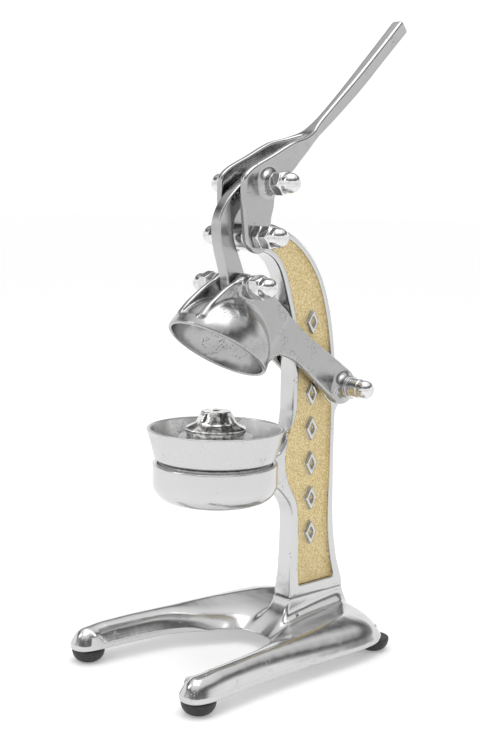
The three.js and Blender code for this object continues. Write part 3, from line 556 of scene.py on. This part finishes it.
def base_heights():
    """The top surface's height over the plan."""
    outer = with_mirror(OUTER_EDGE[::-1])
    inner = with_mirror(INNER_EDGE)
    ridge = with_mirror(RIDGE)
    ridge_y, ridge_z = zip(*RIDGE_HEIGHT)

    def height(x, y):
        to_ridge = line_distance(ridge, x, y)
        to_outer = line_distance(outer, x, y)
        to_inner = line_distance(inner, x, y)
        top = np.interp(y, ridge_y, ridge_z)
        within = polygon(ridge, x, y) < 0
        outside = to_outer / (to_outer + to_ridge + 1e-6)
        inside = to_inner / (to_inner + to_ridge + 1e-6)
        rear = smoothstep(y, 5, 62)
        shoulder = (1 - (1 - outside) ** 1.8) ** 0.52
        leg = (1 - (1 - inside) ** 1.9) ** 0.5
        dish = inside**0.78
        edge = LEG_BOTTOM + 2.5 * rear
        slope = leg * (1 - rear) + dish * rear
        inner_side = edge + (top - edge) * slope
        outer_side = LEG_BOTTOM + (top - LEG_BOTTOM) * shoulder
        arched = np.where(within, inner_side, outer_side)
        lip = np.exp(-((to_inner / 15) ** 2)) * smoothstep(46 - np.abs(x), 0, 22) * smoothstep(y, 8, 34)
        return arched - np.where(within, LIP_DEPTH * lip, 0)

    return Chart(height, (-92, -98), (92, 156), soft=1.3)


def base_field():
    edge = spline(OUTER_EDGE + INNER_EDGE[:-1], 5)
    half = np.vstack([edge, [(0, INNER_EDGE[-1][1])]])
    full = np.vstack([half, half[-2:0:-1] * (-1, 1)])
    plan = outline(full, 0.8)
    heights = base_heights()
    rise = np.gradient(heights.values, heights.pitch)
    steep = Chart(lambda x, y: x * 0, (-92, -98), (92, 156))
    steep.values = np.sqrt(1 + np.minimum(rise[0] ** 2 + rise[1] ** 2, 9))

    def pedestal(x, y, z):
        flare = np.maximum(PEDESTAL_TOP - z, 0)
        half_x = HALF_COLUMN + 0.9 + 0.13 * flare
        front = COLUMN_MIDDLE - 33 - 0.12 * flare - 0.028 * flare**2
        rear = COLUMN_MIDDLE + 32.4 + 0.06 * flare
        wall = both(np.abs(x) - half_x, span(y, front, rear), 2.5)
        return both(wall, z - PEDESTAL_TOP, 0.9)

    def field(x, y, z):
        slab = both((z - heights(x, y)) / steep(x, y), plan(x, y), 1.5)
        slab = either(slab, pedestal(x, y, z), PEDESTAL_FILLET)
        pocket = both(both(np.abs(x) - 15, span(y, 79, 137), 4), z - 24, 1.5)
        slab = without(slab, pocket, 1)
        return both(slab, LEG_BOTTOM - z, 1.2)

    return field


base = solid("base", base_field(), (-85, -91, 7), (85, 150, 42), 1.0)
piece("base", base, "frame", polished, ["base_casting"])


def foot_profile():
    low = np.array([(0, 0), (6.5, 0), (9.9, 2.0), (12.2, 5.2), (13.1, 9.0), (12.9, 10.7), (0, 10.7)])
    return outline(np.vstack([spline(low[1:6], 8), low[6:], low[:1]]), 0.3, 4)


foot_chart = foot_profile()
foot = solid("foot", lambda x, y, z: foot_chart(np.hypot(x, y), z), (-15, -15, -2), (15, 15, 13), 0.6)
for node in FOOT_NODES:
    at = middle(node)
    place = Matrix.Translation((at.x, at.y - CUP_Y, 0))
    piece(f"rubber_{node}", foot, "frame", black, [node], place)

# ---- Column, funnel bowl and painted panels ----------------------------------------------


def column_stations():
    (py, pz), (ay, az) = HANDLE_PIVOT, ARM_PIVOT
    return [
        (COLUMN_MIDDLE, COLUMN_FOOT - 4, 32.2), (COLUMN_MIDDLE, COLUMN_FOOT, 31.75), (106, 67, 27.25),
        (104.3, 95, 24.55), (ay - 24.8, az - 48.7, 24.75), (ay - 25, az - 13.7, 24.95),
        (ay - 26, az + 21.3, 24.05), (py + 69, pz - 66.2, 22.35), (py + 59.9, pz - 39.7, 20.75),
        (py + 47.5, pz - 19.7, 16.75), (py + 33.7, pz - 7.9, 13.15), (py + 19.7, pz - 1.9, 11.85),
        (py, pz, 10.5),
    ]


def panel_border(z):
    return 4.8 + 4.5 * np.clip((COLUMN_FOOT + 100 - z) / 100, 0, 1)


def column_side():
    web = np.vstack([
        [(36, BOWL_RIM - 1.4), (58, BOWL_RIM - 1.4)],
        spline([(63, 164), (70, 172), (74.6, 181), (77, 196), (78.5, 206)]),
        [(88, 206), (88, 95)],
        spline([(82, 95), (80.4, 104), (77.5, 116), (71, 125), (60, 135), (49, 142)]),
        [(36, 142)],
    ])
    band = strip(column_stations())

    def side(y, z):
        joined = np.minimum(polygon(band, y, z), disc(y, z, HANDLE_PIVOT, 10.5))
        joined = either(joined, disc(y, z, ARM_PIVOT, 15.6), 10)
        return np.minimum(joined, polygon(web, y, z))

    return Chart(side, (20, 26), (156, 362), soft=1.0)


def panel_shape():
    band = strip(column_stations(), panel_border)

    def shape(y, z):
        bulge = (np.hypot((y - 84) / 14.6, (z - 157) / 27) - 1) * 16
        inner = either(polygon(band, y, z), bulge, 12)
        inner = without(inner, disc(y, z, HANDLE_PIVOT, 22), 1)
        inner = without(inner, disc(y, z, ARM_PIVOT, 15.4), 2)
        return both(inner, COLUMN_FOOT + 9.3 - z, 2)

    return Chart(shape, (20, 26), (156, 362), soft=0.6)


def lozenge_shape():
    """Seven open lozenges in a row up the panel."""

    def shape(y, z):
        best = np.full(y.shape, 99.0)
        for i in range(7):
            at_z = ARM_PIVOT[1] + 54.8 - 29.6 * i
            at_y = COLUMN_MIDDLE - 6 - (at_z - COLUMN_FOOT) * 0.02
            away = (np.abs(y - at_y) / 6.3 + np.abs(z - at_z) / 10.6 - 1) * 5.4
            best = np.minimum(best, np.maximum(away, -2.6 - away))
        return best

    return Chart(shape, (20, 26), (156, 362), soft=0.3)


def bowl_charts():
    floor = BOWL_RIM - BOWL_DEPTH
    inside = BOWL_RADIUS - BOWL_WALL
    body = np.vstack([
        [(-5, floor)], arc((34.1, floor + 15), 15, -90, 0), [(BOWL_RADIUS, BOWL_RIM), (-5, BOWL_RIM)],
    ])
    hollow = np.vstack([
        [(-5, floor + 2), (8, floor + 2)], arc((inside - 11.1, floor + 15), 11.1, -90, 0),
        [(inside, BOWL_RIM + 20), (-5, BOWL_RIM + 20)],
    ])

    def outer(r, z):
        return either(polygon(body, r, z), both(r - 19.7, span(z, floor - 3, floor + 6), 1.2), 3)

    low, high = (-3, floor - 14), (62, BOWL_RIM + 14)
    return Chart(outer, low, high, 0.5), Chart(lambda r, z: polygon(hollow, r, z), low, high, 0.5)


side_chart, panel_chart, lozenge_chart = column_side(), panel_shape(), lozenge_shape()
bowl_outer, bowl_hollow = bowl_charts()


def column_field(x, y, z):
    spread = 1.8 * smoothstep(COLUMN_FOOT + 26 - z, 0, 26)
    body = both(side_chart(y, z), np.abs(x) - HALF_COLUMN - spread, 2.0)
    body = both(body, COLUMN_FOOT - z, 0.8)
    recess = both(panel_chart(y, z), HALF_COLUMN - PANEL_DEPTH - np.abs(x), 0.7)
    raised = both(lozenge_chart(y, z), np.abs(x) - HALF_COLUMN + 0.15, 0.5)
    body = np.minimum(without(body, recess, 0.7), raised)
    r = np.hypot(x, y)
    body = either(body, bowl_outer(r, z), 5)
    body = without(body, bowl_hollow(r, z), 0.8)
    for at in (HANDLE_PIVOT, ARM_PIVOT):
        body = without(body, disc(y, z, at, STUD_RADIUS + 0.3), 0.4)
    return without(body, r - 8, 0.8)


def paint_field(x, y, z):
    """A skin of paint over the right panel's floor and walls, round the lozenges."""
    skin_of = column_field(x, y, z) - 0.22
    area = both(panel_chart(y, z) - 0.5, x - HALF_COLUMN + 0.75, 0.1)
    area = without(area, lozenge_chart(y, z) - 0.25, 0.1)
    return both(both(skin_of, area, 0.1), HALF_COLUMN - PANEL_DEPTH - 2.5 - x, 0.1)


column = solid("column", column_field, (-54, -54, 35), (54, 148, 354), 0.95)
piece("column", column, "frame", polished, ["column_casting"])
paint = solid("paint", paint_field, (2, 34, 42), (12, 150, 356), 0.75)
piece("panel_paint_right", paint, "frame", gold)
piece("panel_paint_left", paint, "frame", gold, place=Matrix.Scale(-1, 4, (1, 0, 0)))

# ---- Strainer cup and cone -----------------------------------------------------------------

FACETS = 12
CONE_TOP = BOWL_RIM + 40.5


def cup_field():
    low = BOWL_RIM + 0.3
    wall = [
        (-5, low - 6.5), (44.6, low - 6.5), (44.6, low + 1.6), (45.6, low + 1.7), (47.6, low + 3.4),
        (53.8, low + 27), (51.2, low + 27),
        (45, BOWL_RIM + 3.6), (42.2, BOWL_RIM), (34, BOWL_RIM), (32, BOWL_RIM + 4),
        (30.2, BOWL_RIM + 19.5), (28.4, BOWL_RIM + 21.2), (-5, BOWL_RIM + 21.2),
    ]
    under = [
        (-5, low - 12), (29, low - 12), (29, low - 6), (26, BOWL_RIM + 15.5), (14.6, CONE_TOP - 13),
        (7.8, CONE_TOP - 4), (-5, CONE_TOP - 4),
    ]
    shell, hollow = outline(wall, 0.45), outline(under, 0.5)

    def field(x, y, z):
        r = np.hypot(x, y)
        angle = np.arctan2(y, x)
        step = 2 * math.pi / FACETS
        turned = (angle % step) - step / 2
        slot = both(np.abs(r * np.sin(turned)) - 1.5, span(r, 35.5, 41.4), 1.2)
        slot = both(slot, z - BOWL_RIM - 8, 0.5)
        return without(without(shell(r, z), hollow(r, z), 0.6), slot, 0.4)

    return field


def cone_field():
    """Faceted cone: a profile of [corner radius, z] carried round twelve flats."""
    profile = [
        (-5, CONE_TOP - 24), (22.8, CONE_TOP - 24), (23.2, CONE_TOP - 17.6), (24.6, CONE_TOP - 14.6),
        (24.3, CONE_TOP - 13.3), (17.2, CONE_TOP - 9.8), (16.2, CONE_TOP - 8.6), (11.6, CONE_TOP),
        (-5, CONE_TOP),
    ]
    chart = outline(profile, 0.28, 6)
    angles = (np.arange(FACETS) + 0.5) * 2 * math.pi / FACETS

    def field(x, y, z):
        reach = np.max([x * math.cos(a) + y * math.sin(a) for a in angles], axis=0)
        dimple = np.hypot(np.hypot(x, y), z - CONE_TOP - 1.6) - 3.2
        body = without(chart(reach / math.cos(math.pi / FACETS), z), dimple, 0.3)
        lean = (CONE_TOP - z) * 0.47
        for a in angles:
            out = x * math.cos(a) + y * math.sin(a) - 15.9 - lean
            across = y * math.cos(a) - x * math.sin(a)
            flute = both(np.hypot(out, across) - 4.4, CONE_TOP - 8.4 - z, 1.2)
            body = without(body, flute, 0.4)
        return body

    return field


cup = solid("cup", cup_field(), (-56, -56, 154), (56, 56, 193), 0.75)
piece("strainer", cup, "strainer_cup", satin, ["strainer_cup"])
cone = solid("cone", cone_field(), (-27, -27, 178), (27, 27, 206), 0.5)
piece("strainer_cone", cone, "strainer_cup", cone_finish)

# ---- Press head, drawn level with its rim's middle at the origin ------------------------------


def head_field():
    (ay, az), (ly, lz) = ARM_LOCAL, LUG_LOCAL
    arm = outline(np.vstack([
        spline([(ly, lz + 8.5), (ly + 30, lz + 7.4), (ay - 87, az + 16.2), (ay - 60, az + 14.2),
                (ay - 30, az + 14.8), (ay, az + 15.2)]),
        arc((ay, az), 15.2, 80, -90),
        spline([(ay - 14.4, az - 14.4), (ay - 36, az - 12.8), (ay - 59, az - 11), (55.7, 27.1),
                (46.9, 23.4), (42.4, 17.2), (39.2, 10.5)]),
        [(29, 8), (0, 34), (ly, lz - 15)],
    ]), 0.9)
    rib = outline(np.vstack([
        arc((ly, lz), 8.5, 155, 0), [(4, 37), (-27, 8)],
        spline([(-39.4, 8.6), (-37.2, 20), (-34.2, 28), (-30.2, 38), (-26, 46), (-20.4, 54.3)]),
    ]), 0.7)
    shoulder = outline(np.vstack([
        arc((ly, lz), 8.5, 180, 90),
        [(ly + 30, lz + 7.3), (36, lz + 5), (35, 24), (0, 34), (ly - 8.5, 32)],
    ]), 0.9)

    def field(x, y, z):
        wide = np.abs(x)
        ball = np.sqrt(x * x + y * y + z * z)
        head = both(ball - DOME_RADIUS, -z, 1.2)
        head = either(head, both(arm(y, z), span(wide, HALF_FORK, 17), 2.2), 6)
        gap = 9.5 - 3.2 * smoothstep(y, -24, -14)
        thick = 5.6
        ribs = both(rib(y, z), np.abs(wide - gap - thick / 2) - thick / 2, 2.2)
        head = either(head, ribs, 3)
        head = either(head, both(shoulder(y, z), span(wide, 6.3, 16.6), 2.2), 4)
        lug = both(disc(y, z, LUG_LOCAL, 9), span(wide, 6.3, 24.2), 1.4)
        head = either(head, lug, 3)
        boss = both(disc(y, z, ARM_LOCAL, 9.8), span(wide, 14, 25.4), 1.0)
        head = either(head, boss, 6)
        head = without(head, ball - DOME_RADIUS + 2.6 + (DOME_WALL - 2.6) * smoothstep(z, 0, 14), 0.8)
        channel = both(both(wide - gap, DOME_RADIUS - 1.2 - ball, 1), both(8 - z, y - 14, 1), 4)
        head = without(head, channel, 1)
        for at in (LUG_LOCAL, ARM_LOCAL):
            head = without(head, disc(y, z, at, STUD_RADIUS + 0.3), 0.3)
        return without(head, both(wide - HALF_FORK, 50 - y, 1), 0.8)

    return field


head = solid("head", head_field(), (-44, -44, -3), (44, 146, 64), 0.85)
piece("press_dome", head, "press_head", rough_cast, ["press_head"], HEAD_PLACE)

# ---- Link -------------------------------------------------------------------------------------


def link_field():
    along = LINK_BOTTOM - LINK_TOP
    length = np.linalg.norm(along)
    along = along / length
    forward = np.array([along[1], -along[0]])
    bow = [(0, 0, 9), (0.12, 12, 7.5), (0.32, 22.3, 7.5), (0.47, 24.5, 7.5), (0.63, 20.2, 7.5),
           (0.82, 10.1, 8.4), (1, 0, 9.4)]
    bar = outline(strip([(*(LINK_TOP + along * s * length + forward * b), w) for s, b, w in bow]), 0.8)

    def field(x, y, z):
        shape = either(bar(y, z), disc(y, z, LINK_TOP, 9.7), 3)
        shape = either(shape, disc(y, z, LINK_BOTTOM, 9.4), 3)
        body = both(shape, np.abs(x) - HALF_LINK, 1.5)
        for at in (LINK_TOP, LINK_BOTTOM):
            body = without(body, disc(y, z, at, STUD_RADIUS + 0.3), 0.4)
        return body

    return field


link = solid("link", link_field(), (-8, -12, 286), (8, 52, 394), 0.6)
piece("link_bar", link, "link", worn, ["link"])

# ---- Handle -----------------------------------------------------------------------------------


def handle_field():
    (py, pz), (ty, tz) = HANDLE_PIVOT, LINK_TOP
    tip, throat = np.array([203.7, 516.0]), np.array([py + 78.8, pz + 87.6])
    way = (tip - throat) / np.linalg.norm(tip - throat)
    up = np.array([-way[1], way[0]])
    side = outline(np.vstack([
        arc((py, pz), 13, 180, 360),
        spline([(py + 13.4, pz + 14), (ty + 6.5, tz - 18), (ty + 7.5, tz - 9), (ty + 13, tz - 1),
                (ty + 25.6, tz + 9), (ty + 36.1, tz + 17.8), (ty + 49.6, tz + 27.7),
                throat - up * 4.8, throat + way * 48 - up * 7,
                throat + way * 95 - up * 6.4, tip - up * 5.8]),
        spline([tip + up * 6, throat + way * 90 + up * 4.8, throat + way * 48 + up * 4.2,
                throat + up * 4.8, throat + (-12, -3.6),
                (ty + 43.6, tz + 37.4), (ty + 27.4, tz + 33), (ty + 3.5, tz + 21.6),
                (ty - 18.6, tz + 10.6), (ty - 25, tz + 4), (ty - 25.8, tz - 6), (ty - 25.6, tz - 18)]),
    ]), 1.0)
    fork_end = ty + 27
    right = np.vstack([
        [(16.5, py - 33)],
        spline([(16.5, fork_end - 6), (16.4, fork_end), (15.5, fork_end + 6), (11.9, fork_end + 21),
                (7.4, fork_end + 33), (4.8, throat[0]), (5.4, 160), (6.1, tip[0] + 14)]),
    ])
    inner = np.vstack([
        [(10.5, py - 50)],
        spline([(10.5, fork_end - 6), (10.5, fork_end), (10.1, fork_end + 4), (7.1, fork_end + 15),
                (2.9, fork_end + 23), (0, fork_end + 25)]),
    ])
    plan = outline(np.vstack([right, right[::-1] * (-1, 1)]), 0.8)
    gap = outline(np.vstack([inner, inner[-2::-1] * (-1, 1)]), 0.8)

    def field(x, y, z):
        body = both(side(y, z), plan(x, y), 2.4)
        body = without(body, gap(x, y), 1.8)
        boss = both(disc(y, z, LINK_TOP, 8.7), span(np.abs(x), 13, 26.1), 1.2)
        body = either(body, boss, 5)
        for at in (HANDLE_PIVOT, LINK_TOP):
            body = without(body, disc(y, z, at, STUD_RADIUS + 0.3), 0.4)
        return body

    return field


lever = solid("lever", handle_field(), (-29, 6, 322), (29, 212, 523), 0.75)
piece("lever", lever, "handle", worn, ["handle"])

# ---- Nuts, washers and studs, drawn along +X from their seat --------------------------------------


def hexagon(y, z, flats):
    angles = np.radians((0, 60, 120))
    return np.max([np.abs(y * math.sin(a) + z * math.cos(a)) for a in angles], axis=0) - flats / 2


def acorn_nut(x, y, z):
    r = np.hypot(y, z)
    prism = both(hexagon(y, z, 17), span(x, 0, 9.5), 0.3)
    prism = both(prism, (r - 9.3 + np.maximum(x - 8.2, 0.3 - x) * 1.2) / 1.4, 0.3)
    cap = np.where(x > 13.3, np.hypot(r, x - 13.3) - 7.8, np.maximum(r - 7.8, -x))
    nut = either(prism, cap, 0.8)
    return without(nut, both(r - STUD_RADIUS - 0.3, x - 13, 0.3), 0.3)


def barrel_nut(x, y, z):
    r = np.hypot(y, z)
    barrel = both(r - 8.2, span(x, 0, 9.5), 0.5)
    cap = np.where(x > 13.3, np.hypot(r, x - 13.3) - 7.8, np.maximum(r - 7.8, -x))
    nut = either(barrel, cap, 0.5)
    return without(nut, both(r - STUD_RADIUS - 0.3, x - 13, 0.3), 0.3)


def plain_nut(thickness):
    def field(x, y, z):
        r = np.hypot(y, z)
        prism = both(hexagon(y, z, 17), span(x, 0, thickness), 0.3)
        prism = both(prism, (r - 9.3 + np.maximum(x - thickness + 1.2, 1.2 - x) * 1.2) / 1.4, 0.3)
        return without(prism, r - STUD_RADIUS - 0.3, 0.3)

    return field


def ring(thickness):
    def field(x, y, z):
        r = np.hypot(y, z)
        flat = both(r - 9.5, span(x, 0, thickness), min(0.5, thickness * 0.3))
        return without(flat, r - STUD_RADIUS - 0.3, 0.2)

    return field


def along_x(name, field, node, body, material, place, pitch=0.4):
    """Stands for a right-hand node and its left-hand twin."""
    low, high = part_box(f"{node}_right")
    mesh = solid(name, field, (-1.5, -11.5, -11.5), ((high.x - low.x) / MM + 1.5, 11.5, 11.5), pitch)
    for side, sign in (("right", 1), ("left", -1)):
        mirror = Matrix.Scale(sign, 4, (1, 0, 0)) @ Matrix.Translation((low.x / MM, 0, 0))
        piece(f"{name}_{side}", mesh, body, material, [f"{node}_{side}"], place @ mirror)


def thickness_of(node):
    low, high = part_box(node)
    return (high.x - low.x) / MM


AT_HANDLE = turn_about(HANDLE_PIVOT, 0)
AT_LINK_TOP = turn_about(LINK_TOP, math.radians(12))
AT_LINK_BOTTOM = turn_about(LINK_BOTTOM, -OPEN_ANGLE)
AT_ARM = turn_about(ARM_PIVOT, 0)

along_x("acorn_handle", acorn_nut, "handle_pivot_nut", "frame", bright, AT_HANDLE)
along_x("acorn_link_top", acorn_nut, "link_top_nut", "handle", bright, AT_LINK_TOP)
along_x("acorn_link_bottom", acorn_nut, "link_bottom_nut", "press_head", bright,
        AT_LINK_BOTTOM)
along_x("barrel_arm", barrel_nut, "arm_pivot_nut", "frame", bright, AT_ARM)
lock = plain_nut(thickness_of("handle_lock_nut_right"))
along_x("lock_nut", lock, "handle_lock_nut", "frame", bright, AT_HANDLE)
for node, at in (("handle_pivot_washer", AT_HANDLE), ("arm_spacer", AT_ARM), ("arm_washer", AT_ARM)):
    flat = ring(thickness_of(f"{node}_right"))
    along_x(f"{node}_ring", flat, node, "frame", steel, at)


def stud_mesh(node):
    half = thickness_of(node) / 2

    def field(x, y, z):
        return both(np.hypot(y, z) - STUD_RADIUS, np.abs(x) - half, 0.8)

    return solid(node, field, (-half - 2, -7, -7), (half + 2, 7, 7), 0.7)


for node, body, at in (
    ("handle_pivot_stud", "frame", HANDLE_PIVOT),
    ("arm_pivot_stud", "frame", ARM_PIVOT),
    ("link_top_stud", "handle", LINK_TOP),
    ("link_bottom_stud", "press_head", LINK_BOTTOM),
):
    piece(f"{node}_rod", stud_mesh(node), body, steel, [node], turn_about(at, 0))

for name, node in frame["nodes"].items():
    if not node.hide_render:
        node.data.materials.clear()
        node.data.materials.append(black if name in FOOT_NODES else steel)

# ---- Floor, light and camera -----------------------------------------------------------------


FLOOR_GLOW = 0.26
STUDIO_BANDS = [(0.0, 1.0), (0.30, 1.25), (0.42, 0.35), (0.58, 0.10), (0.73, 0.9), (1.0, 1.25)]


def stage_floor():
    mesh = bpy.data.meshes.new("floor")
    reach = 30
    corners = [(-reach, -reach, 0), (reach, -reach, 0), (reach, reach, 0), (-reach, reach, 0)]
    mesh.from_pydata(corners, [], [(0, 1, 2, 3)])
    paper = Painter("paper", 0.0, 0.7, Emission_Color=(1, 1, 1, 1), Emission_Strength=FLOOR_GLOW)
    mesh.materials.append(paper.finish(paper.mix(paper.noise(300), grey(0.88), grey(0.9))))
    floor = bpy.data.objects.new("floor", mesh)
    bpy.context.scene.collection.objects.link(floor)


def studio():
    """White surroundings with a dark band above them, so that the metal has something to show.

    What lies straight behind the object is plain white.
    """
    world = bpy.data.worlds.new("studio")
    bpy.context.scene.world = world
    world.use_nodes = True
    tree = world.node_tree
    link = tree.links.new
    place = tree.nodes.new("ShaderNodeTexCoord").outputs["Generated"]
    split = tree.nodes.new("ShaderNodeSeparateXYZ")
    link(place, split.inputs[0])
    drift = tree.nodes.new("ShaderNodeTexNoise")
    drift.inputs["Scale"].default_value = 2.2
    drift.inputs["Detail"].default_value = 1
    link(place, drift.inputs["Vector"])
    shift = tree.nodes.new("ShaderNodeMapRange")
    shift.inputs["To Min"].default_value = -0.16
    shift.inputs["To Max"].default_value = 0.16
    link(drift.outputs["Fac"], shift.inputs[0])
    height = tree.nodes.new("ShaderNodeMath")
    link(split.outputs["Z"], height.inputs[0])
    link(shift.outputs[0], height.inputs[1])
    ramp = tree.nodes.new("ShaderNodeValToRGB")
    link(height.outputs[0], ramp.inputs[0])
    stops = ramp.color_ramp.elements
    while len(stops) < len(STUDIO_BANDS):
        stops.new(0.5)
    for stop, (at, value) in zip(stops, STUDIO_BANDS):
        stop.position = at
        stop.color = (value, value, value, 1)
    seen = tree.nodes.new("ShaderNodeLightPath").outputs["Is Camera Ray"]
    white = tree.nodes.new("ShaderNodeMix")
    white.data_type = "RGBA"
    link(seen, white.inputs[0])
    link(ramp.outputs[0], white.inputs[6])
    white.inputs[7].default_value = (1.05, 1.05, 1.05, 1)
    link(white.outputs[2], tree.nodes["Background"].inputs["Color"])


def softbox(name, at, aim, size, power):
    light = bpy.data.lights.new(name, "AREA")
    light.shape = "RECTANGLE"
    light.size, light.size_y = size
    light.energy = power
    lamp = bpy.data.objects.new(name, light)
    lamp.location = at
    lamp.rotation_euler = (Vector(aim) - Vector(at)).to_track_quat("-Z", "Y").to_euler()
    bpy.context.scene.collection.objects.link(lamp)


def camera():
    back = Vector((0.72779, -0.67282, 0.13280)).normalized()
    level = Vector((-back.y, back.x, 0)).normalized()
    up = back.cross(level)
    roll = math.radians(1.09)
    right = level * math.cos(roll) + up * math.sin(roll)
    above = up * math.cos(roll) - level * math.sin(roll)
    turn = Matrix((right, above, back)).transposed().to_4x4()
    data = bpy.data.cameras.new("camera")
    data.lens = 59.62
    data.sensor_width = 36
    data.clip_end = 200
    made = bpy.data.objects.new("camera", data)
    at = Vector((697.76, -620.61 + CUP_Y, 362.53)) * MM
    made.matrix_world = Matrix.Translation(at) @ turn
    bpy.context.scene.collection.objects.link(made)
    bpy.context.scene.camera = made


stage_floor()
studio()
softbox("overhead", (0.1, -0.1, 1.8), (0, 0, 0.2), (1.3, 1.3), 9)
softbox("key", (-0.9, -1.3, 1.3), (0, 0, 0.25), (0.5, 0.7), 3)
camera()
bpy.context.scene.view_settings.view_transform = "Standard"
